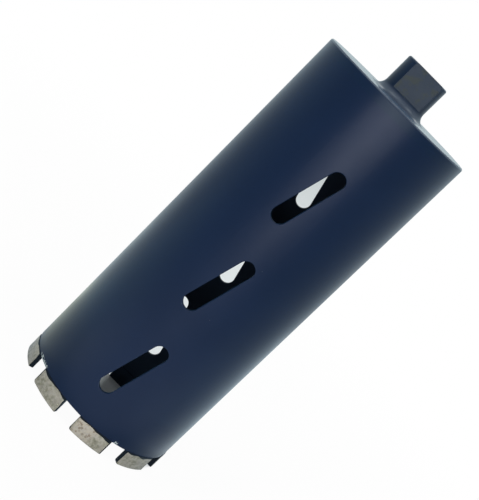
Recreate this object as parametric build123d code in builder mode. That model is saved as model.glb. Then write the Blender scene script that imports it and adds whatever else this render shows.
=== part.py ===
"""Dry diamond core bit: slotted steel barrel, one-piece end plate and hub, welded segments.

The bit stands upright on its segments. The origin is on the axis at the level of the
cutting faces, and +Z runs along the axis towards the hub. All sizes are in millimetres.
Angles are counted from the front, -Y, towards +X. The first row of slots faces the front.
"""

from math import degrees
import os

from build123d import *

os.makedirs("parts", exist_ok=True)

# Cutting end
cutting_diameter = 101.6
segment_count = 9
segment_height = 10.3
segment_thickness = 3.2
segment_arc_length = 23.6
segment_phase = 10.6
segment_edge_chamfer = 0.5
side_relief = 0.35

# Barrel
barrel_length = 231.6
barrel_wall = 2.2

# Slots through the barrel, leaning with their upper ends towards +X as the front row shows
slot_row_count = 2
slots_per_row = 3
slot_length = 43.7
slot_width = 9.6
slot_lean = 14.0
slot_pitch = 66.4
lowest_slot_above_rim = 40.3

# End plate, which sits on the barrel's end with a spigot inside it
plate_thickness = 6.0
plate_edge_radius = 1.2
spigot_depth = 3.0
spigot_clearance = 0.05
spigot_chamfer = 0.8

# Hub, with two wrench flats above a round collar
hub_diameter = 28.2
hub_height = 23.0
hub_top_edge_radius = 1.3
hub_foot_radius = 5.5
collar_height = 5.0
across_flats = 20.0
flat_turn = 5.5

# Bore for the thread of a 5/8 inch spindle, at the thread's major diameter
thread_major_diameter = 15.875
thread_lead_in = 0.9

# Radii that follow
segment_outer_radius = cutting_diameter / 2
segment_inner_radius = segment_outer_radius - segment_thickness
barrel_outer_radius = segment_outer_radius - side_relief
barrel_inner_radius = barrel_outer_radius - barrel_wall
spigot_radius = barrel_inner_radius - spigot_clearance
hub_radius = hub_diameter / 2
bore_radius = thread_major_diameter / 2
bore_mouth_radius = bore_radius + thread_lead_in

# Heights that follow, from the cutting faces up
rim_z = segment_height
plate_seat_z = rim_z + barrel_length
spigot_bottom_z = plate_seat_z - spigot_depth
plate_top_z = plate_seat_z + plate_thickness
collar_top_z = plate_top_z + collar_height
hub_top_z = plate_top_z + hub_height

# Barrel: a plain tube with leaning slots through its wall
with BuildPart() as barrel:
    with BuildSketch(Plane.XY.offset(rim_z)):
        Circle(barrel_outer_radius)
        Circle(barrel_inner_radius, mode=Mode.SUBTRACT)
    extrude(amount=barrel_length)

    lowest_slot_z = rim_z + lowest_slot_above_rim
    for row in range(slot_row_count):
        with BuildSketch(Plane.XZ.rotated((0, 0, row * 360 / slot_row_count))):
            for place in range(slots_per_row):
                with Locations((0, lowest_slot_z + place * slot_pitch)):
                    SlotOverall(slot_length, slot_width, rotation=90 - slot_lean)
        extrude(amount=cutting_diameter, mode=Mode.SUBTRACT)

barrel.part.label = "barrel"
export_step(barrel.part, "parts/barrel.step")


# End plate and hub: one turned piece, bored through, with two flats milled on the hub
with BuildPart() as end_cap:
    with BuildSketch(Plane.XZ):
        with BuildLine():
            Polyline(
                (bore_radius, spigot_bottom_z + thread_lead_in),
                (bore_mouth_radius, spigot_bottom_z),
                (spigot_radius - spigot_chamfer, spigot_bottom_z),
                (spigot_radius, spigot_bottom_z + spigot_chamfer),
                (spigot_radius, plate_seat_z),
                (barrel_outer_radius, plate_seat_z),
                (barrel_outer_radius, plate_top_z),
                (hub_radius, plate_top_z),
                (hub_radius, hub_top_z),
                (bore_mouth_radius, hub_top_z),
                (bore_radius, hub_top_z - thread_lead_in),
                close=True,
            )
        make_face()
    revolve(axis=Axis.Z)

    plate_top_rings = end_cap.edges().filter_by_position(Axis.Z, plate_top_z, plate_top_z)
    fillet(plate_top_rings.sort_by(SortBy.RADIUS)[0], radius=hub_foot_radius)
    plate_top_rings = end_cap.edges().filter_by_position(Axis.Z, plate_top_z, plate_top_z)
    fillet(plate_top_rings.sort_by(SortBy.RADIUS)[-1], radius=plate_edge_radius)
    hub_top_rings = end_cap.edges().filter_by_position(Axis.Z, hub_top_z, hub_top_z)
    fillet(hub_top_rings.sort_by(SortBy.RADIUS)[-1], radius=hub_top_edge_radius)

    with BuildSketch(Plane.XY.offset(collar_top_z)):
        Circle(hub_diameter)
        Rectangle(3 * hub_diameter, across_flats, rotation=flat_turn, mode=Mode.SUBTRACT)
    extrude(amount=hub_height, mode=Mode.SUBTRACT)

end_cap.part.label = "end_cap"
export_step(end_cap.part, "parts/end_cap.step")


# Segments: curved blocks under the barrel's rim, proud of its wall inside and outside
segment_angle = degrees(segment_arc_length / segment_outer_radius)
front_angle = -90

for number in range(1, segment_count + 1):
    middle_angle = front_angle + segment_phase + (number - 1) * 360 / segment_count
    start_angle = middle_angle - segment_angle / 2

    with BuildPart() as segment:
        with BuildSketch():
            with BuildLine():
                outer = CenterArc((0, 0), segment_outer_radius, start_angle, segment_angle)
                inner = CenterArc((0, 0), segment_inner_radius, start_angle, segment_angle)
                Line(outer @ 0, inner @ 0)
                Line(outer @ 1, inner @ 1)
            make_face()
        extrude(amount=segment_height)
        welded_face = segment.faces().sort_by(Axis.Z)[-1]
        chamfer(segment.edges() - welded_face.edges(), length=segment_edge_chamfer)

    segment.part.label = f"segment_{number}"
    export_step(segment.part, f"parts/segment_{number}.step")
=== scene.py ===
"""Looks of the diamond core bit: satin navy paint, ground diamond segments and a bare steel thread.

The bit stands upright on a pale floor. Lengths are in metres, written as so many times MM where they are
small. Angles are in radians where nothing else is said, counted from the front, -Y, towards +X.
"""

from math import asin, ceil, copysign, cos, degrees, hypot, pi, radians, sin, sqrt

import bmesh
import bpy
from mathutils import Matrix, Vector, noise


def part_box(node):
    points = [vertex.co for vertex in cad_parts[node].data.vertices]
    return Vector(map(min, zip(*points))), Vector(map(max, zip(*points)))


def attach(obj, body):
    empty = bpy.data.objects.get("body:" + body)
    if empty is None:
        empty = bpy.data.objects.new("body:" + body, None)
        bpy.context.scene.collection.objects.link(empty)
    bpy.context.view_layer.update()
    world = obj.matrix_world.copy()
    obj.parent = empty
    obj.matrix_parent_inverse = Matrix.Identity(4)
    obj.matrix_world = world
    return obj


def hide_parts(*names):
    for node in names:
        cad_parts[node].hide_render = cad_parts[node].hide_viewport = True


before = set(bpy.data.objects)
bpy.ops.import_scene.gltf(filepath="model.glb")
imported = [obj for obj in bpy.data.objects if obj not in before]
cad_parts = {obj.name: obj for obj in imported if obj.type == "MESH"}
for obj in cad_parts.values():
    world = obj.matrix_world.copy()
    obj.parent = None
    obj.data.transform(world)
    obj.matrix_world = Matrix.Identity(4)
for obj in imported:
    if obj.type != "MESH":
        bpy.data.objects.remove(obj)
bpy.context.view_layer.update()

MM = 0.001

# Sizes that the frame holds
barrel_low, barrel_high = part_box("barrel")
cap_low, cap_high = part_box("end_cap")


def node_radii(node):
    """Smallest and largest distance of a node's vertices from the axis."""
    radii = [hypot(v.co.x, v.co.y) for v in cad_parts[node].data.vertices]
    return min(radii), max(radii)


barrel_inner_radius, barrel_outer_radius = node_radii("barrel")
segment_inner_radius, segment_outer_radius = node_radii("segment_1")
bore_radius = node_radii("end_cap")[0]
rim_z = barrel_low.z
plate_seat_z = barrel_high.z
hub_top_z = cap_high.z
thread_bottom_z = cap_low.z

# Slots, as the model has them
slot_row_count = 2
slots_per_row = 3
slot_length = 43.7 * MM
slot_width = 9.6 * MM
slot_lean = radians(14.0)
slot_pitch = 66.4 * MM
lowest_slot_above_rim = 40.3 * MM
slot_edge_round = 0.35 * MM

# Segments, as the model has them
segment_count = 9
segment_phase = radians(10.6)
segment_arc_length = 23.6 * MM
segment_half_angle = segment_arc_length / segment_outer_radius / 2
segment_edge_round = 0.55 * MM
segment_corner_left = 1.6 * MM
segment_corner_right = 0.6 * MM

# Where round the rim the welds are fullest
weld_fullest = radians(40)

# End plate and hub, as the model has them
plate_thickness = 6.0 * MM
collar_height = 5.0 * MM
hub_radius = 14.1 * MM
hub_foot_radius = 5.5 * MM
collar_top_z = plate_seat_z + plate_thickness + collar_height

# Thread of a 5/8 inch spindle, 11 threads to the inch
thread_pitch = 25.4 / 11 * MM
thread_minor_radius = 6.8 * MM


def on_cylinder(radius, angle, z):
    """The point at a radius and height, at an angle from the front towards +X."""
    return Vector((radius * sin(angle), -radius * cos(angle), z))


# Meshes


class Net:
    """Points and faces of one piece while it is made."""

    def __init__(self):
        self.points = []
        self.faces = []

    def ring(self, points):
        """Adds points and returns their numbers."""
        first = len(self.points)
        self.points.extend(points)
        return list(range(first, len(self.points)))

    def skin(self, rings):
        """Quads between each ring and the next, which has as many points."""
        for ring_a, ring_b in zip(rings, rings[1:]):
            for i in range(len(ring_a)):
                j = (i + 1) % len(ring_a)
                self.faces.append((ring_a[i], ring_a[j], ring_b[j], ring_b[i]))

    def close_ends(self, rings):
        """One face over the first ring and one over the last."""
        self.faces.append(tuple(reversed(rings[0])))
        self.faces.append(tuple(rings[-1]))

    def piece(self, name, material, material_slot, sharp_degrees=50):
        """The finished object, smooth but for its sharp edges, riding on the bit."""
        mesh = bpy.data.meshes.new(name)
        mesh.from_pydata(self.points, [], self.faces)
        mesh.validate()
        mesh.shade_smooth()
        mesh.set_sharp_from_angle(angle=radians(sharp_degrees))
        mesh.materials.append(material)
        turn_outwards(mesh)
        obj = bpy.data.objects.new(name, mesh)
        bpy.context.scene.collection.objects.link(obj)
        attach(obj, "root")
        return obj


def turn_outwards(mesh):
    """Turns every face of a closed mesh outwards."""
    work = bmesh.new()
    work.from_mesh(mesh)
    bmesh.ops.recalc_face_normals(work, faces=work.faces)
    work.to_mesh(mesh)
    work.free()


# Barrel

# the mesh is a grid of columns round the barrel and rows up it, and a slot lies in a panel: a part of the
# grid that rings of points round the slot replace, with as many points on its edge as on the slot's outline
barrel_columns = 192
column_angle = 2 * pi / barrel_columns
panel_half_columns = 8
slot_end_rows = 8
slot_side_rows = 16
slot_end_steps = 2 * (slot_end_rows + panel_half_columns)
rows_per_slot = 2 * slot_end_rows + slot_side_rows
rows_of_slots = rows_per_slot * slots_per_row
rows_below_slots = 4
rows_above_slots = 10
panel_ring_count = 10
panel_ring_ease = 1.7
round_steps = 4
rim_round = 0.25 * MM
slots = [(slot_row, place) for slot_row in range(slot_row_count) for place in range(slots_per_row)]


def slot_middle(slot):
    """The angle and height of a slot's middle."""
    slot_row, place = slot
    return slot_row * 2 * pi / slot_row_count, rim_z + lowest_slot_above_rim + place * slot_pitch


def slot_outline(offset):
    """A slot's outline about its middle, as points (x, z), pushed outwards by offset.

    Seen from outside, it runs anticlockwise from the left of the slot's low end.
    """
    half_straight = (slot_length - slot_width) / 2
    reach = slot_width / 2 + offset
    along = Vector((sin(slot_lean), cos(slot_lean)))
    across = Vector((cos(slot_lean), -sin(slot_lean)))
    points = []
    for side in (-1, 1):
        for i in range(slot_end_steps):
            turn = i / slot_end_steps * pi
            round_end = reach * (across * cos(turn) + along * sin(turn))
            points.append(side * (half_straight * along + round_end))
        for i in range(slot_side_rows):
            points.append(-side * (reach * across + half_straight * along * (2 * i / slot_side_rows - 1)))
    return points


def panel_edge(place):
    """The grid points round a slot's panel, as (column from the slot's, row), in step with its outline."""
    low = rows_below_slots + place * rows_per_slot
    high = low + rows_per_slot
    left, right = -panel_half_columns, panel_half_columns
    edge = [(left, low + slot_end_rows - i) for i in range(slot_end_rows)]
    edge += [(left + i, low) for i in range(2 * panel_half_columns)]
    edge += [(right, low + i) for i in range(rows_per_slot)]
    edge += [(right - i, high) for i in range(2 * panel_half_columns)]
    edge += [(left, high - i) for i in range(rows_per_slot - slot_end_rows)]
    return edge


def in_panel(column, row):
    """Whether a cell of the grid lies in a slot's panel."""
    between_slots = barrel_columns // slot_row_count
    beside_slot = (column + panel_half_columns) % between_slots < 2 * panel_half_columns
    return beside_slot and 0 <= row - rows_below_slots < rows_of_slots


def grid_heights():
    """Heights of the grid's rows, from the rounded rim up to the end plate."""
    low = rim_z + rim_round
    slots_low = rim_z + lowest_slot_above_rim - slot_pitch / 2
    slots_high = slots_low + slot_pitch * slots_per_row
    heights = [low + (slots_low - low) * i / rows_below_slots for i in range(rows_below_slots)]
    heights += [slots_low + (slots_high - slots_low) * i / rows_of_slots for i in range(rows_of_slots)]
    heights += [slots_high + (plate_seat_z - slots_high) * i / rows_above_slots
                for i in range(rows_above_slots + 1)]
    return heights


def level_ring(net, radius, z):
    """A ring of points round the barrel at one height."""
    return net.ring([on_cylinder(radius, column * column_angle, z) for column in range(barrel_columns)])


def slot_ring(net, slot, offset, radius):
    """A ring of points round a slot, cut straight back as the solid's is."""
    angle, z = slot_middle(slot)
    return net.ring([on_cylinder(radius, angle + asin(x / radius), z + up) for x, up in slot_outline(offset)])


def fill_panel(net, slot, radius, rows, heights):
    """Rings from a slot's edge out to its panel's, whose points are in rows. Returns the slot's edge."""
    middle_angle, middle_z = slot_middle(slot)
    slot_row, place = slot
    slot_column = slot_row * barrel_columns // slot_row_count
    edge = panel_edge(place)
    rings = []
    for number in range(panel_ring_count):
        share = (number / panel_ring_count) ** panel_ring_ease
        points = []
        for (x, up), (column, row) in zip(slot_outline(slot_edge_round), edge):
            angle = asin(x / radius) * (1 - share) + column * column_angle * share
            z = (middle_z + up) * (1 - share) + heights[row] * share
            points.append(on_cylinder(radius, middle_angle + angle, z))
        rings.append(net.ring(points))
    rings.append([rows[row][(slot_column + column) % barrel_columns] for column, row in edge])
    net.skin(rings)
    return rings[0]


def make_sheet(net, radius):
    """The barrel's outer or inner surface. Returns its lowest ring, its highest one and its slots' edges."""
    heights = grid_heights()
    rows = [level_ring(net, radius, z) for z in heights]
    for row, (lower, upper) in enumerate(zip(rows, rows[1:])):
        for column in range(barrel_columns):
            if not in_panel(column, row):
                after = (column + 1) % barrel_columns
                net.faces.append((lower[column], lower[after], upper[after], upper[column]))
    slot_edges = [fill_panel(net, slot, radius, rows, heights) for slot in slots]
    return rows[0], rows[-1], slot_edges


def wall_profile(edge_round):
    """Steps through the barrel's wall from outside to inside, with rounded edges.

    Each is (distance back from the cut, depth in the wall).
    """
    wall = barrel_outer_radius - barrel_inner_radius
    turns = [(i + 1) / round_steps * pi / 2 for i in range(round_steps)]
    outside = [(edge_round * (1 - sin(turn)), edge_round * (1 - cos(turn))) for turn in turns]
    return outside + [(back, wall - depth) for back, depth in reversed(outside)]


def make_barrel(material):
    """The slotted tube with softly rounded edges, in place of the plain solid."""
    net = Net()
    outer_low, outer_high, outer_edges = make_sheet(net, barrel_outer_radius)
    inner_low, inner_high, inner_edges = make_sheet(net, barrel_inner_radius)
    for slot, outer_edge, inner_edge in zip(slots, outer_edges, inner_edges):
        profile = wall_profile(slot_edge_round)
        wall_rings = [slot_ring(net, slot, back, barrel_outer_radius - depth) for back, depth in profile]
        net.skin([outer_edge, *wall_rings, inner_edge])
    profile = wall_profile(rim_round)
    rim_rings = [level_ring(net, barrel_outer_radius - depth, rim_z + up) for up, depth in profile]
    net.skin([outer_low, *rim_rings, inner_low])
    net.skin([outer_high, inner_high])
    piece = net.piece("slotted_barrel", material, "barrel_paint")
    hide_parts("barrel")


# Segments

# each is made as a flat block, with x round the rim, y up and z out from the ground face, and then bent
segment_thickness = segment_outer_radius - segment_inner_radius
segment_half_length = segment_arc_length / 2
line_spacing = 0.3 * MM
relief_depth = 0.035 * MM
grain_size = 0.45 * MM
pit_depth = 0.06 * MM
pit_spacing = 1.1 * MM
pit_reach = 0.22
pattern_step = 0.1


def segment_middle(number):
    """The angle of a segment's middle."""
    return segment_phase + (number - 1) * 2 * pi / segment_count


def even_lines(low, high):
    """Lines from low to high, close together where the edges are rounded."""
    edge_steps = 3
    edge = segment_edge_round
    middle = high - low - 2 * edge
    middle_steps = ceil(middle / line_spacing)
    lines = [low + edge * i / edge_steps for i in range(edge_steps)]
    lines += [low + edge + middle * i / middle_steps for i in range(middle_steps)]
    lines += [high - edge + edge * i / edge_steps for i in range(edge_steps + 1)]
    return lines


def box_lattice(*lines):
    """A box's surface on three sets of lines, one along each axis: its points, and its quads."""
    numbers = {}
    points = []
    faces = []

    def number(key):
        """The number of the point on three lines, which is added when it is first asked for."""
        if key not in numbers:
            numbers[key] = len(points)
            points.append(tuple(lines[axis][key[axis]] for axis in range(3)))
        return numbers[key]

    for axis in range(3):
        first, second = (axis + 1) % 3, (axis + 2) % 3
        for end in (0, len(lines[axis]) - 1):
            for i in range(len(lines[first]) - 1):
                for j in range(len(lines[second]) - 1):
                    corners = []
                    for di, dj in ((0, 0), (1, 0), (1, 1), (0, 1)):
                        key = [0, 0, 0]
                        key[axis] = end
                        key[first] = i + di
                        key[second] = j + dj
                        corners.append(number(tuple(key)))
                    faces.append(tuple(corners if end else reversed(corners)))
    return points, faces


def round_edges(flat):
    """A point of the plain block moved to the rounded one, and the way that its surface faces there.

    The welded top keeps its corners.
    """
    edge = segment_edge_round
    core = Vector((
        min(max(flat.x, edge - segment_half_length), segment_half_length - edge),
        max(flat.y, edge),
        min(max(flat.z, edge - segment_thickness), -edge),
    ))
    out = (flat - core).normalized()
    return core + out * edge, out


def ground_depth(at):
    """How far grains and pits sink the surface at a point."""
    grain = 0.5 - 0.5 * noise.noise(at / grain_size)
    pit = max(0.0, 1 - noise.voronoi(at / pit_spacing)[0][0] / pit_reach)
    return relief_depth * grain + pit_depth * pit


def wear_corners(flat):
    """Pulls in a point at one of the two lower corners, which are worn round, the left one most."""
    corner = segment_corner_left if flat.x < 0 else segment_corner_right
    beside = abs(flat.x) - (segment_half_length - corner)
    under = corner - flat.y
    if beside > 0 and under > 0:
        pull = max(beside, under) / hypot(beside, under)
        flat.x = copysign(segment_half_length - corner + beside * pull, flat.x)
        flat.y = corner - under * pull


def make_segment(number, material):
    """One ground segment, in place of the plain solid, with its pits and grains in relief."""
    round_lines = even_lines(-segment_half_length, segment_half_length)
    lattice, faces = box_lattice(round_lines, even_lines(0, rim_z), even_lines(-segment_thickness, 0))
    own_pattern = Vector((number * pattern_step, 0, 0))
    net = Net()
    net.faces = faces
    for place in lattice:
        flat, out = round_edges(Vector(place))
        if place[1] < rim_z - segment_edge_round:
            flat -= out * ground_depth(flat + own_pattern)
        wear_corners(flat)
        angle = segment_middle(number) + flat.x / segment_outer_radius
        net.points.append(on_cylinder(segment_outer_radius + flat.z, angle, flat.y))
    piece = net.piece(f"ground_segment_{number}", material, "segment_metal")
    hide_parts(f"segment_{number}")


# Welds and thread


def weld_weight(angle):
    """How heavy the weld is at an angle: 1 where it is fullest, and 0 on the other side."""
    return 0.5 + 0.5 * cos(angle - weld_fullest)


def make_weld(number, side, material):
    """The painted weld between one segment and the barrel's rim, outside or inside."""
    steps = 110
    ripple = 0.05 * MM
    ripple_length = 0.7 * MM
    ripple_reach = 0.8
    swell_length = 5 * MM
    least_swell, swell_by_weight, swell_by_wave = 0.75, 0.45, 0.25
    end_inset = 0.004
    end_bluntness = 14
    noise_row, slow_noise_shift = 5, 20
    if side == "outer":
        wall, face = barrel_outer_radius, segment_outer_radius
    else:
        wall, face = barrel_inner_radius, segment_inner_radius
    proud = face - wall
    outwards = copysign(1, proud)
    # share of the way from wall to face, and height above the rim in millimetres
    section = ((-0.4, 0.75), (0.12, 0.62), (0.5, 0.36), (0.85, 0.1), (0.92, -0.12), (-0.4, -0.12))
    half = segment_half_angle - end_inset
    net = Net()
    rings = []
    for i in range(steps + 1):
        share = 2 * i / steps - 1
        angle = segment_middle(number) + half * share
        fade = sqrt(max(0.0, 1 - abs(share) ** end_bluntness))
        wave = noise.noise(Vector((angle * wall / ripple_length, number, noise_row)))
        slow = noise.noise(Vector((angle * wall / swell_length, number + slow_noise_shift, noise_row)))
        swell = fade * (least_swell + swell_by_weight * weld_weight(angle) + swell_by_wave * slow)
        points = []
        for across, up in section:
            radius = wall + proud * (across * fade if across > 0 else across)
            if 0 < across < ripple_reach:
                radius += outwards * ripple * wave * fade
            points.append(on_cylinder(radius, angle, rim_z + (up * swell if up > 0 else up) * MM))
        rings.append(net.ring(points))
    net.skin(rings)
    net.close_ends(rings)
    net.piece(f"weld_{side}_{number}", material, "barrel_paint", sharp_degrees=80)


def make_thread(material):
    """The ridge of the internal thread, wound up the bore."""
    steps_per_turn = 72
    root_half = thread_pitch * 0.44
    crest_half = thread_pitch * 0.13
    crest_flat_half = crest_half * 0.6
    into_wall = 0.12 * MM
    end_gap = 0.55 * MM
    fade_turns = 0.6
    fade_power = 0.7
    depth = bore_radius - thread_minor_radius
    crest_edge = depth * 0.93
    # distance in from the bore's wall, and height, up one flank and down the other
    flank = ((-into_wall, -root_half), (0, -root_half), (crest_edge, -crest_half), (depth, -crest_flat_half))
    section = flank + tuple((inward, -up) for inward, up in reversed(flank))
    low = thread_bottom_z + end_gap + root_half
    high = hub_top_z - end_gap - root_half
    count = int((high - low) / thread_pitch * steps_per_turn)
    net = Net()
    rings = []
    for i in range(count + 1):
        turn = i / steps_per_turn
        grow = min(1.0, turn / fade_turns, (count / steps_per_turn - turn) / fade_turns)
        grow = max(0.0, grow) ** fade_power
        z = low + turn * thread_pitch
        points = []
        for inward, up in section:
            reach = inward * grow if inward > 0 else inward
            points.append(on_cylinder(bore_radius - reach, turn * 2 * pi, z + up))
        rings.append(net.ring(points))
    net.skin(rings)
    net.close_ends(rings)
    net.piece("spindle_thread", material, "cap_paint", sharp_degrees=35)


# Materials


class Nodes:
    """Short ways to add nodes to one material or world. Inputs are values or other nodes' outputs."""

    def __init__(self, owner):
        owner.use_nodes = True
        self.tree = owner.node_tree
        self.tree.nodes.clear()

    def add(self, kind, inputs=None, **settings):
        """A node of a kind, with some of its inputs set or linked."""
        node = self.tree.nodes.new("ShaderNode" + kind)
        for name, value in settings.items():
            setattr(node, name, value)
        for name, value in (inputs or {}).items():
            if isinstance(value, bpy.types.NodeSocket):
                self.tree.links.new(value, node.inputs[name])
            else:
                node.inputs[name].default_value = value
        return node

    def math(self, operation, a, b=0.0):
        """The result of one operation on one or two numbers."""
        return self.add("Math", {0: a, 1: b}, operation=operation).outputs[0]

    def plus(self, a, b, share):
        """Number a with a share of b added."""
        return self.add("Math", {0: b, 1: share, 2: a}, operation="MULTIPLY_ADD").outputs[0]

    def ramp(self, value, low, high, to_low=0.0, to_high=1.0):
        """A smooth step from to_low at low to to_high at high."""
        inputs = {"Value": value, "From Min": low, "From Max": high, "To Min": to_low, "To Max": to_high}
        return self.add("MapRange", inputs, interpolation_type="SMOOTHSTEP").outputs[0]

    def noise(self, point, size, detail=2.0, roughness=0.5):
        """Noise from 0 to 1 whose features are about size metres wide."""
        inputs = {"Vector": point, "Scale": 1 / size, "Detail": detail, "Roughness": roughness}
        return self.add("TexNoise", inputs).outputs["Fac"]

    def turning(self, radius, z, size):
        """Noise in rings round the axis, as a turning tool leaves."""
        return self.noise(self.add("CombineXYZ", {0: radius, 1: z, 2: 0.0}).outputs[0], size)

    def dots(self, point, spacing, radius, share):
        """Soft dots of a radius on a share of some scattered points, from 0 to 1."""
        cells = self.add("TexVoronoi", {"Vector": point, "Scale": 1 / spacing}).outputs
        distance = self.math("MULTIPLY", cells["Distance"], spacing)
        own = self.add("SeparateColor", {"Color": cells["Color"]}).outputs[0]
        dot = self.ramp(distance, radius, radius * 0.5)
        return self.math("MULTIPLY", dot, self.math("LESS_THAN", own, share))

    def mix(self, share, a, b):
        """Colour a, turning into b as share goes from 0 to 1."""
        return self.add("Mix", {0: share, 6: a, 7: b}, data_type="RGBA").outputs[2]

    def blend(self, share, a, b):
        """Number a, turning into b as share goes from 0 to 1."""
        return self.add("Mix", {0: share, 2: a, 3: b}).outputs[0]

    def scaled(self, point, x, y, z):
        """A point stretched by its own factor along each axis."""
        return self.add("VectorMath", {0: point, 1: (x, y, z)}, operation="MULTIPLY").outputs[0]

    def bump(self, height):
        """The normal of a surface with a relief of that height, in metres."""
        return self.add("Bump", {"Height": height, "Distance": 1.0}).outputs[0]

    def place(self):
        """The point in the bit's frame, the same at height 0, its radius, its angle and its height."""
        point = self.add("TexCoord").outputs["Object"]
        parts = self.add("SeparateXYZ", {0: point}).outputs
        level = self.scaled(point, 1, 1, 0)
        radius = self.add("VectorMath", {0: level}, operation="LENGTH").outputs["Value"]
        angle = self.math("ARCTAN2", parts[0], self.math("MULTIPLY", parts[1], -1.0))
        return point, level, radius, angle, parts[2]

    def unrolled(self, radius, angle, z):
        """The surface of the cylinder laid flat: round it, up it and out from it."""
        around = self.math("MULTIPLY", angle, barrel_outer_radius)
        return self.add("CombineXYZ", {0: around, 1: z, 2: radius}).outputs[0]

    def surface(self, **inputs):
        """The finished surface: the shader's sockets are named with _ for each space."""
        shader = self.add("BsdfPrincipled", {k.replace("_", " "): v for k, v in inputs.items()})
        self.add("OutputMaterial", {"Surface": shader.outputs[0]})


paint_navy = (0.0015, 0.0088, 0.0310, 1)
paint_navy_deep = (0.0011, 0.0078, 0.0280, 1)
paint_inside = (0.012, 0.024, 0.046, 1)
seam_paint_and_shade = (0.0008, 0.0022, 0.0045, 1)
# dark paint on the segments' ends and just over their paint line, darkened further as painted shade
end_paint_and_shade = (0.0007, 0.0035, 0.0060, 1)
paint_stain = (0.010, 0.013, 0.009, 1)
# paler grey on faces that look up: partly dust, partly painted light from above
dust_and_top_light = (0.053, 0.069, 0.100, 1)
dust_grey = (0.16, 0.17, 0.18, 1)
paint_gloss = (0.84, 0.87, 1.0, 1)
cap_gloss = (0.82, 0.92, 0.94, 1)
paint_finish = {"Specular_IOR_Level": 0.145, "Specular_Tint": paint_gloss, "Sheen_Weight": 0.06,
                "Sheen_Roughness": 0.45, "Sheen_Tint": (0.15, 0.55, 1.0, 1)}
dull = 0.6

bare_steel = (0.34, 0.36, 0.37, 1)
burnt_steel = (0.05, 0.07, 0.10, 1)
bore_steel = (0.2, 0.2, 0.2, 1)
crest_steel = (0.36, 0.36, 0.35, 1)
root_steel = (0.1, 0.1, 0.1, 1)
oil_brown = (0.16, 0.14, 0.12, 1)

metal_dark = (0.184, 0.174, 0.134, 1)
metal_light = (0.340, 0.318, 0.276, 1)
metal_pale = (0.340, 0.308, 0.280, 1)
metal_warm = (0.360, 0.320, 0.285, 1)
tan_grain = (0.41, 0.348, 0.265, 1)
brown_grain = (0.178, 0.136, 0.100, 1)
pit_black = (0.06, 0.06, 0.055, 1)
grit_yellow = (0.62, 0.64, 0.42, 1)


def painted(nodes, point, radius, z):
    """Colour, roughness and relief of the satin paint, which is paler and duller inside the barrel."""
    cloud = nodes.noise(point, 45 * MM, detail=3.0)
    colour = nodes.mix(nodes.ramp(cloud, 0.35, 0.65), paint_navy, paint_navy_deep)
    inside = nodes.ramp(radius, barrel_inner_radius + 1.6 * MM, barrel_inner_radius + 0.4 * MM)
    inside = nodes.math("MULTIPLY", inside, nodes.math("LESS_THAN", z, plate_seat_z))
    colour = nodes.mix(inside, colour, paint_inside)

    # a few specks of dust, outside only
    dust = nodes.dots(point, spacing=9 * MM, radius=0.26 * MM, share=0.22)
    dust = nodes.math("MULTIPLY", dust, nodes.ramp(inside, 1.0, 0.0, 0.0, 0.5))
    colour = nodes.mix(dust, colour, dust_grey)

    least_rough, most_rough = 0.285, 0.315
    smear = nodes.noise(point, 18 * MM, detail=4.0)
    grain = nodes.noise(point, 0.35 * MM)
    roughness = nodes.plus(nodes.ramp(smear, 0.3, 0.7, least_rough, most_rough), grain, 0.06)
    roughness = nodes.blend(inside, roughness, dull)

    peel = nodes.noise(point, 1.6 * MM)
    relief = nodes.math("MULTIPLY", peel, 0.02 * MM)
    relief = nodes.plus(relief, grain, 0.003 * MM)
    relief = nodes.plus(relief, dust, 0.06 * MM)
    return colour, roughness, relief


def barrel_paint():
    """Paint on the barrel, burnt away in a few places along the rim."""
    material = bpy.data.materials.new("barrel_paint")
    nodes = Nodes(material)
    point, _, radius, angle, z = nodes.place()
    colour, roughness, relief = painted(nodes, point, radius, z)

    # the middle and half width of each such place, in degrees round the rim
    patches = ((-49.5, 7.5), (26.0, 1.6), (71.5, 1.2), (-170.0, 3.0), (150.5, 1.5))
    turn = nodes.math("MULTIPLY", angle, degrees(1))
    bare = 0.0
    for middle, half in patches:
        away = nodes.math("ABSOLUTE", nodes.math("SUBTRACT", turn, middle))
        bare = nodes.math("MAXIMUM", bare, nodes.ramp(away, half * 1.1, half * 0.7))

    # each reaches up to a ragged line over the rim
    lowest_line, highest_line = rim_z + 0.2 * MM, rim_z + 1.7 * MM
    ragged = nodes.noise(point, 0.9 * MM, detail=3.0)
    over_line = nodes.math("SUBTRACT", z, nodes.ramp(ragged, 0.36, 0.6, lowest_line, highest_line))
    bare = nodes.math("MULTIPLY", bare, nodes.ramp(over_line, 0.12 * MM, -0.05 * MM))
    steel = nodes.mix(nodes.ramp(ragged, 0.46, 0.54), burnt_steel, bare_steel)
    colour = nodes.mix(bare, colour, steel)
    roughness = nodes.blend(bare, roughness, 0.38)
    nodes.surface(Base_Color=colour, Roughness=roughness, Metallic=bare, Normal=nodes.bump(relief),
                  **paint_finish)
    return material


def weld_paint():
    """The barrel's paint, dull and dark in the outer seam over the segments: dark paint and painted shade."""
    material = bpy.data.materials.new("weld_paint")
    nodes = Nodes(material)
    point, _, radius, _, z = nodes.place()
    colour, roughness, relief = painted(nodes, point, radius, z)
    # the dark of the outer seam is partly paint and partly painted shade in the groove
    ragged = nodes.noise(point, 1.2 * MM)
    height = nodes.plus(z, ragged, -0.3 * MM)
    seam = nodes.ramp(height, rim_z + 0.5 * MM, rim_z + 0.1 * MM)
    outer = nodes.math("GREATER_THAN", radius, barrel_inner_radius + 1 * MM)
    seam = nodes.math("MULTIPLY", seam, outer)
    colour = nodes.mix(seam, colour, seam_paint_and_shade)
    roughness = nodes.blend(seam, roughness, 0.75)
    nodes.surface(Base_Color=colour, Roughness=roughness, Normal=nodes.bump(relief), **paint_finish)
    return material


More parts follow.
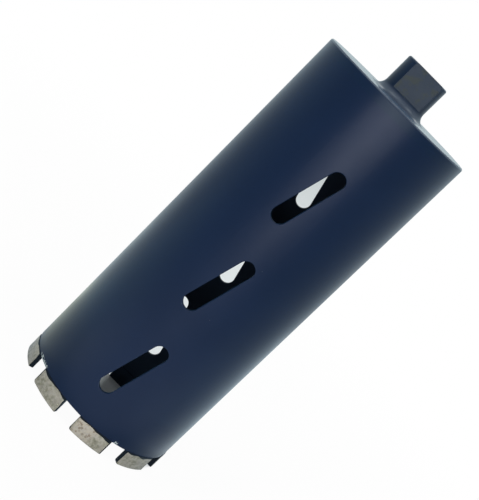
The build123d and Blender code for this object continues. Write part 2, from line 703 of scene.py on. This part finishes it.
def cap_paint():
    """Paint on the end plate and hub, over fine milling marks on the flats, and none in the bore."""
    material = bpy.data.materials.new("cap_paint")
    nodes = Nodes(material)
    point, _, radius, angle, z = nodes.place()
    colour, roughness, relief = painted(nodes, point, radius, z)
    upward = nodes.add("SeparateXYZ", {0: nodes.add("NewGeometry").outputs["Normal"]}).outputs[2]
    on_top = nodes.ramp(upward, 0.3, 0.9)
    over_collar = nodes.math("GREATER_THAN", z, collar_top_z)
    within_round = nodes.math("LESS_THAN", radius, hub_radius - 0.2 * MM)
    on_flats = nodes.math("MULTIPLY", over_collar, within_round)

    # marks of the milling cutter on the flats, and of the turning tool all over
    milled = nodes.noise(nodes.scaled(point, 0.04, 0.04, 1), 0.5 * MM, detail=3.0)
    relief = nodes.plus(relief, nodes.math("MULTIPLY", milled, on_flats), 0.02 * MM)
    relief = nodes.plus(relief, nodes.turning(radius, z, 0.45 * MM), 0.006 * MM)
    relief = nodes.math("MULTIPLY", relief, nodes.ramp(on_top, 0.0, 1.0, 1.0, 0.3))

    # a thin grey film on the plate and the hub's foot, partly dust and partly painted light from above
    film = nodes.ramp(nodes.noise(point, 12 * MM, detail=4.0), 0.25, 0.6, 0.75, 1.0)
    film = nodes.math("MULTIPLY", film, nodes.ramp(upward, 0.05, 0.5))
    film = nodes.math("MULTIPLY", film, nodes.ramp(z, hub_top_z, collar_top_z, 0.4, 1.0))
    colour = nodes.mix(film, colour, dust_and_top_light)
    stain = nodes.ramp(nodes.noise(point, 5 * MM, detail=4.0, roughness=0.6), 0.48, 0.64, 0.0, 0.75)
    colour = nodes.mix(nodes.math("MULTIPLY", stain, on_flats), colour, paint_stain)

    # smoother where it faces up and on the flats, and duller on the sides of the hub's foot
    roughness = nodes.plus(roughness, on_top, -0.12)
    roughness = nodes.plus(roughness, on_flats, -0.03)
    foot_edge = hub_radius + hub_foot_radius
    foot = nodes.ramp(radius, foot_edge + 1.9 * MM, foot_edge - 1.1 * MM)
    foot = nodes.math("MULTIPLY", foot, nodes.ramp(upward, 0.02, 0.2))
    beside = nodes.ramp(nodes.math("ABSOLUTE", angle), radians(30), radians(65), 0.2, 1.0)
    roughness = nodes.plus(roughness, nodes.math("MULTIPLY", foot, beside), 0.14)

    # bare in the bore, up to a ragged line round its mouth
    line = nodes.plus(bore_radius + 0.35 * MM, nodes.noise(point, 0.8 * MM), 0.8 * MM)
    bare = nodes.ramp(nodes.math("SUBTRACT", radius, line), 0.1 * MM, -0.1 * MM)
    colour = nodes.mix(bare, colour, bore_steel)
    roughness = nodes.blend(bare, roughness, 0.4)
    finish = {**paint_finish, "Specular_Tint": cap_gloss}
    nodes.surface(Base_Color=colour, Roughness=roughness, Metallic=bare, Normal=nodes.bump(relief), **finish)
    return material


def ground_metal(nodes, flat, angle):
    """Colour, roughness and relief of sintered metal: mottled, with grains, pits and diamond grit."""
    mottle = nodes.noise(flat, 2.1 * MM, detail=4.0, roughness=0.62)
    colour = nodes.mix(nodes.ramp(mottle, 0.36, 0.64), metal_dark, metal_light)
    broad = nodes.noise(flat, 5 * MM)
    colour = nodes.mix(nodes.ramp(broad, 0.42, 0.62, 0.0, 0.55), colour, metal_pale)

    # a warmer stretch near the front, where tan and brown grains show most
    warm_middle = radians(5.5)
    warm_half = radians(8.5)
    away = nodes.math("ABSOLUTE", nodes.math("SUBTRACT", angle, warm_middle))
    warm = nodes.ramp(away, warm_half, warm_half * 0.55)
    colour = nodes.mix(nodes.math("MULTIPLY", warm, 0.7), colour, metal_warm)
    tan = nodes.ramp(nodes.noise(flat, 1.2 * MM, detail=3.0), 0.45, 0.62)
    colour = nodes.mix(nodes.math("MULTIPLY", tan, nodes.blend(warm, 0.16, 0.38)), colour, tan_grain)
    shift = nodes.add("TexNoise", {"Vector": flat, "Scale": 1 / (0.7 * MM), "Detail": 2.0}).outputs["Color"]
    inputs = {0: flat, 1: nodes.scaled(shift, MM, MM, 0)}
    shifted = nodes.add("VectorMath", inputs, operation="ADD").outputs[0]
    brown = nodes.dots(shifted, spacing=1.6 * MM, radius=0.95 * MM, share=0.8)
    cluster = nodes.ramp(nodes.noise(flat, 3.5 * MM), 0.38, 0.5)
    brown = nodes.math("MULTIPLY", brown, nodes.math("MULTIPLY", cluster, nodes.blend(warm, 0.12, 0.75)))
    colour = nodes.mix(brown, colour, brown_grain)

    pits = nodes.dots(flat, spacing=1.0 * MM, radius=0.17 * MM, share=0.4)
    colour = nodes.mix(nodes.math("MULTIPLY", pits, 0.75), colour, pit_black)
    grit = nodes.dots(flat, spacing=0.8 * MM, radius=0.16 * MM, share=0.3)
    colour = nodes.mix(nodes.math("MULTIPLY", grit, 0.8), colour, grit_yellow)

    # fine grinding lines run round the face
    lines = nodes.noise(nodes.scaled(flat, 0.03, 1, 1), 0.22 * MM)
    roughness = nodes.plus(nodes.ramp(mottle, 0.3, 0.7, 0.42, 0.58), lines, 0.08)
    roughness = nodes.blend(grit, roughness, 0.15)
    relief = nodes.math("MULTIPLY", mottle, 0.03 * MM)
    relief = nodes.plus(relief, lines, 0.012 * MM)
    relief = nodes.plus(relief, pits, -0.05 * MM)
    relief = nodes.plus(relief, grit, 0.03 * MM)
    return colour, roughness, relief


def segment_metal():
    """Ground metal on the outer face, and paint on the others and down to a wavy line over it."""
    material = bpy.data.materials.new("segment_metal")
    nodes = Nodes(material)
    point, level, radius, angle, z = nodes.place()
    flat = nodes.unrolled(radius, angle, z)
    paint_colour, paint_roughness, paint_relief = painted(nodes, point, radius, z)
    metal_colour, metal_roughness, metal_relief = ground_metal(nodes, flat, angle)
    ragged = nodes.noise(point, 0.8 * MM, detail=3.0)

    # bare where the surface looks outwards
    normal = nodes.add("NewGeometry").outputs["Normal"]
    outward = nodes.add("VectorMath", {0: level}, operation="NORMALIZE").outputs[0]
    facing = nodes.add("VectorMath", {0: normal, 1: outward}, operation="DOT_PRODUCT").outputs["Value"]
    facing = nodes.plus(facing, nodes.math("SUBTRACT", ragged, 0.5), 0.5)
    bare = nodes.ramp(facing, 0.5, 0.62)

    # the paint on the ends laps over onto the face, more in some places than in others
    pitch = 2 * pi / segment_count
    inputs = {0: nodes.math("SUBTRACT", angle, segment_phase), 1: pitch / 2, 2: -pitch / 2}
    from_middle = nodes.math("ABSOLUTE", nodes.add("Math", inputs, operation="WRAP").outputs[0])
    from_end = nodes.math("SUBTRACT", segment_half_angle, from_middle)
    from_end = nodes.math("MULTIPLY", from_end, segment_outer_radius)
    lap = nodes.ramp(nodes.noise(point, 9 * MM, detail=1.0), 0.38, 0.62, 0.2 * MM, 0.85 * MM)
    lap = nodes.plus(lap, ragged, 0.15 * MM)
    past_lap = nodes.math("SUBTRACT", from_end, lap)
    bare = nodes.math("MULTIPLY", bare, nodes.ramp(past_lap, -0.08 * MM, 0.08 * MM))

    # the barrel's paint comes down to a wavy line, which is lowest where the welds are fullest
    wave = nodes.noise(nodes.scaled(flat, 1, 0, 0), 13 * MM, detail=1.0)
    sag = nodes.ramp(wave, 0.36, 0.66, 0.1 * MM, 1.1 * MM)
    weight = nodes.math("COSINE", nodes.math("SUBTRACT", angle, weld_fullest))
    sag = nodes.math("MULTIPLY", sag, nodes.ramp(weight, -1.0, 1.0, 0.5, 1.4))
    line = nodes.plus(nodes.math("SUBTRACT", rim_z, sag), ragged, 0.2 * MM)
    over_line = nodes.math("SUBTRACT", z, line)
    bare = nodes.math("MULTIPLY", bare, nodes.ramp(over_line, 0.06 * MM, -0.06 * MM))

    # the paint is dull; on the ends and just over the line it is dark, partly dark paint and partly painted
    # shade; on the inner face it is as in the barrel
    paint_height = 0.06 * MM
    inner_face = nodes.ramp(radius, segment_inner_radius + 0.8 * MM, segment_inner_radius + 0.3 * MM)
    paint_colour = nodes.mix(0.95, paint_colour, nodes.mix(inner_face, end_paint_and_shade, paint_inside))
    paint_roughness = nodes.blend(0.85, paint_roughness, dull)
    colour = nodes.mix(bare, paint_colour, metal_colour)
    roughness = nodes.blend(bare, paint_roughness, metal_roughness)
    relief = nodes.blend(bare, nodes.math("ADD", paint_relief, paint_height), metal_relief)
    nodes.surface(Base_Color=colour, Roughness=roughness, Metallic=nodes.math("MULTIPLY", bare, 0.75),
                  Normal=nodes.bump(relief), **paint_finish)
    return material


def thread_steel():
    """Cut steel, darker in its roots than on its crests, with a patchy film of dark oil and fine tool marks
    round it.
    """
    material = bpy.data.materials.new("thread_steel")
    nodes = Nodes(material)
    point, _, radius, _, z = nodes.place()
    colour = nodes.mix(nodes.ramp(radius, thread_minor_radius, bore_radius), crest_steel, root_steel)
    film = nodes.noise(point, 3 * MM, detail=3.0)
    colour = nodes.mix(nodes.ramp(film, 0.4, 0.65, 0.0, 0.5), colour, oil_brown)
    roughness = nodes.ramp(film, 0.3, 0.7, 0.28, 0.42)
    relief = nodes.math("MULTIPLY", nodes.turning(radius, z, 0.15 * MM), 0.01 * MM)
    nodes.surface(Base_Color=colour, Roughness=roughness, Metallic=1.0, Normal=nodes.bump(relief))
    return material


# Stage, light and camera

white = (1, 1, 1)
cool_white = (0.74, 0.88, 0.84)
blue_cool_white = (0.66, 0.88, 0.98)
teal_white = (0.60, 0.96, 1.0)
blue_white = (0.1, 0.5, 1.0)
near_left_white = (0.88, 0.92, 0.50)
near_right_white = (0.85, 0.92, 1.0)
seen_white = (1, 1, 1, 1)


def seen_directly(nodes):
    """1 for rays from the camera, mirrors and glass, and 0 for those that only carry light."""
    path = nodes.add("LightPath").outputs
    seen = nodes.math("MAXIMUM", path["Is Camera Ray"], path["Is Glossy Ray"])
    return nodes.math("MAXIMUM", seen, path["Is Transmission Ray"])


def painted_shadow_behind(nodes, x, y):
    """1 in a long soft painted shadow behind the bit, where the light in front of it would throw one, and 0
    beside it.
    """
    half_width_at_bit, spread, lean = 35 * MM, 0.075, 0.049
    start, end = 0.06, 5.0
    half_width = nodes.plus(half_width_at_bit, y, spread)
    aside = nodes.math("ABSOLUTE", nodes.plus(x, y, -lean))
    in_painted_shadow = nodes.ramp(nodes.math("DIVIDE", aside, half_width), 1.0, 0.5)
    in_painted_shadow = nodes.math("MULTIPLY", in_painted_shadow, nodes.ramp(y, start * 0.5, start * 1.5))
    return nodes.math("MULTIPLY", in_painted_shadow, nodes.ramp(y, end, end * 0.6))


def painted_glow_inside(nodes, x, y, away):
    """1 far inside the barrel, where the floor is dim, and the share of white that it shows there as a faint
    painted glow.

    The glow is more on the left, as painted light, and less at the foot of the segments at the back, as a
    painted shadow.
    """
    lit_x, dim_x = -32 * MM, -20 * MM
    lit_y, dim_y = -22 * MM, 6 * MM
    left_x, middle_x = -7.5 * MM, -1.5 * MM
    left_painted_glow, middle_white, foot_shadow_share = 0.205, 0.046, 0.62
    foot_start, foot_end = segment_inner_radius - 10 * MM, segment_inner_radius - 5 * MM
    dim = nodes.ramp(away, barrel_outer_radius, barrel_inner_radius + 1 * MM)
    dim = nodes.math("MULTIPLY", dim, nodes.ramp(y, lit_y, dim_y))
    dim = nodes.math("MULTIPLY", dim, nodes.ramp(x, lit_x, dim_x))
    # a faint painted glow on the dim floor inside, brighter on the left as painted light
    inside_painted_glow = nodes.ramp(x, left_x, middle_x, left_painted_glow, middle_white)
    # less of the glow at the foot of the back segments, as a painted contact shadow
    painted_foot_shadow = nodes.ramp(away, foot_start, foot_end, 1.0, foot_shadow_share)
    return dim, nodes.math("MULTIPLY", inside_painted_glow, painted_foot_shadow)


def floor_surface():
    """Pale grey under the lights, most of which plain white takes over where the floor is seen."""
    floor_grey = (0.88, 0.88, 0.88, 1)
    mirrored_white = (0.86, 0.95, 0.93, 1)
    painted_shade_tint = (0.90, 1.0, 1.02, 1)
    near_reach, far_reach = 0.10, 0.75
    near_white, far_white, painted_shadow_white = 0.96, 1.0, 0.45
    material = bpy.data.materials.new("floor")
    nodes = Nodes(material)
    point = nodes.add("TexCoord").outputs["Object"]
    away = nodes.add("VectorMath", {0: point}, operation="LENGTH").outputs["Value"]
    x, y, _ = nodes.add("SeparateXYZ", {0: point}).outputs

    # the share of plain white that each place shows, lowered in a painted shadow behind the bit and to a
    # faint painted glow inside the barrel
    in_painted_shadow = painted_shadow_behind(nodes, x, y)
    dim, inside_painted_glow = painted_glow_inside(nodes, x, y, away)
    white_share = nodes.ramp(away, near_reach, far_reach, near_white, far_white)
    white_share = nodes.blend(in_painted_shadow, white_share, painted_shadow_white)
    white_share = nodes.blend(dim, white_share, inside_painted_glow)

    mirrored = nodes.add("LightPath").outputs["Is Glossy Ray"]
    tint = nodes.mix(mirrored, seen_white, mirrored_white)
    # the painted shadow and the dim floor inside the barrel are tinted a little cool
    tint = nodes.mix(nodes.math("MAXIMUM", dim, in_painted_shadow), tint, painted_shade_tint)
    lit_grey = nodes.add("BsdfDiffuse", {"Color": floor_grey}).outputs[0]
    plain_white = nodes.add("Emission", {"Color": tint, "Strength": 1.0}).outputs[0]
    white_share = nodes.math("MULTIPLY", white_share, seen_directly(nodes))
    surface = nodes.add("MixShader", {0: white_share, 1: lit_grey, 2: plain_white})
    nodes.add("OutputMaterial", {"Surface": surface.outputs[0]})
    return material


def make_floor():
    """The floor that the bit stands on."""
    half = 6.0
    mesh = bpy.data.meshes.new("floor")
    corners = [(-half, -half, 0), (half, -half, 0), (half, half, 0), (-half, half, 0)]
    mesh.from_pydata(corners, [], [(0, 1, 2, 3)])
    mesh.materials.append(floor_surface())
    floor = bpy.data.objects.new("floor", mesh)
    bpy.context.scene.collection.objects.link(floor)


def make_world():
    """White where it is seen, and a low even light on everything."""
    light_level = 0.14
    mirrored_white = (0.80, 0.93, 0.94, 1)
    world = bpy.data.worlds.new("studio")
    bpy.context.scene.world = world
    nodes = Nodes(world)
    level = nodes.blend(seen_directly(nodes), light_level, 1.0)
    mirrored = nodes.add("LightPath").outputs["Is Glossy Ray"]
    colour = nodes.mix(mirrored, seen_white, mirrored_white)
    back = nodes.add("Background", {"Color": colour, "Strength": level})
    nodes.add("OutputWorld", {"Surface": back.outputs[0]})


def make_light(name, width, depth, power, colour):
    """A soft rectangular light that the camera doesn't see."""
    light = bpy.data.lights.new(name, "AREA")
    light.shape = "RECTANGLE"
    light.size = width
    light.size_y = depth
    light.energy = power
    light.color = colour
    obj = bpy.data.objects.new(name, light)
    obj.visible_camera = False
    bpy.context.scene.collection.objects.link(obj)
    return obj


def make_softbox(name, azimuth, distance, low, high, width, power, aim_z=0.13, colour=white):
    """A soft light from low to high, off the bit at an azimuth in degrees from the front towards +X."""
    obj = make_light(name, width, high - low, power, colour)
    obj.location = on_cylinder(distance, radians(azimuth), (low + high) / 2)
    aim = Vector((0, 0, aim_z))
    obj.rotation_mode = "QUATERNION"
    obj.rotation_quaternion = (aim - obj.location).to_track_quat("-Z", "Y")


def make_card(name, across, deep, level, colour=white):
    """A soft light lying on the floor and facing up, as a lit white card beside the bit would.

    It reaches over across in x and over deep in y, and level is how bright it looks, where 1 is white.
    """
    card_height = 4 * MM
    width, depth = across[1] - across[0], deep[1] - deep[0]
    obj = make_light(name, width, depth, level * pi * width * depth, colour)
    obj.location = (sum(across) / 2, sum(deep) / 2, card_height)
    obj.rotation_euler = (pi, 0, 0)


def make_camera():
    """The photograph's view: slightly from above, and rolled so that the hub points to the upper right."""
    azimuth = radians(-2.8)
    distance = 622.7 * MM
    height = 263.8 * MM
    aim_left = 3.8 * MM
    aim_height = 127.7 * MM
    roll = radians(45.43)
    camera = bpy.data.cameras.new("camera")
    camera.lens = 80.84
    camera.sensor_width = 36.0
    camera.clip_start = 0.01
    camera.clip_end = 50.0
    obj = bpy.data.objects.new("camera", camera)
    obj.location = on_cylinder(distance, azimuth, height)
    to_right = Vector((cos(azimuth), sin(azimuth), 0))
    aim = Vector((0, 0, aim_height)) - to_right * aim_left
    level_view = (aim - obj.location).to_track_quat("-Z", "Y").to_matrix()
    obj.rotation_mode = "QUATERNION"
    obj.rotation_quaternion = (level_view @ Matrix.Rotation(roll, 3, "Z")).to_quaternion()
    bpy.context.scene.collection.objects.link(obj)
    bpy.context.scene.camera = obj


# The whole scene

make_camera()
barrel_material = barrel_paint()
weld_material = weld_paint()
cap_material = cap_paint()
segment_material = segment_metal()
steel_material = thread_steel()

make_barrel(barrel_material)
for number in range(1, segment_count + 1):
    make_segment(number, segment_material)
    make_weld(number, "outer", weld_material)
    make_weld(number, "inner", weld_material)
make_thread(steel_material)

# the end cap keeps its own solid, with a better material
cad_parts["end_cap"].data.materials.clear()
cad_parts["end_cap"].data.materials.append(cap_material)

make_floor()
make_world()
make_softbox("key", 3, distance=1.15, low=0.13, high=0.38, width=1.10, power=7.5)
make_softbox("strip", 3, distance=1.15, low=0.0, high=0.14, width=0.30, power=1.0)
make_softbox("top", -40, distance=0.55, low=0.95, high=1.85, width=0.9, power=6)
make_softbox("overhead_left", -90, distance=0.42, low=0.95, high=1.25, width=0.4, power=1.9)
make_softbox("overhead_right", 90, distance=0.42, low=0.95, high=1.25, width=0.4, power=1.9)
make_softbox("back", 180, distance=1.3, low=0.9, high=1.5, width=1.0, power=4.2)
make_softbox("left_wall", -93, distance=1.3, low=0.08, high=0.36, width=0.6, power=0.22, aim_z=0.25,
             colour=blue_white)
make_card("front_card", (-0.30, 0.30), (-0.95, -0.07), 0.36)
make_card("near_card", (-0.16, 0.16), (-0.22, -0.065), 0.5)
make_card("left_card", (-0.80, -0.14), (-0.20, 0.09), 0.68, teal_white)
make_card("left_near_card", (-0.14, -0.062), (-0.16, 0.14), 0.58, near_left_white)
make_card("left_back_card", (-0.42, -0.065), (0.09, 0.40), 0.46, cool_white)
make_card("right_card", (0.065, 0.42), (-0.20, 0.09), 0.5, blue_cool_white)
make_card("right_near_card", (0.062, 0.18), (-0.16, 0.02), 0.42, near_right_white)
make_card("right_back_card", (0.065, 0.42), (0.09, 0.40), 0.48, blue_cool_white)
make_card("back_card", (-0.065, 0.065), (0.09, 0.80), 0.8, cool_white)

bpy.context.scene.view_settings.view_transform = "Standard"
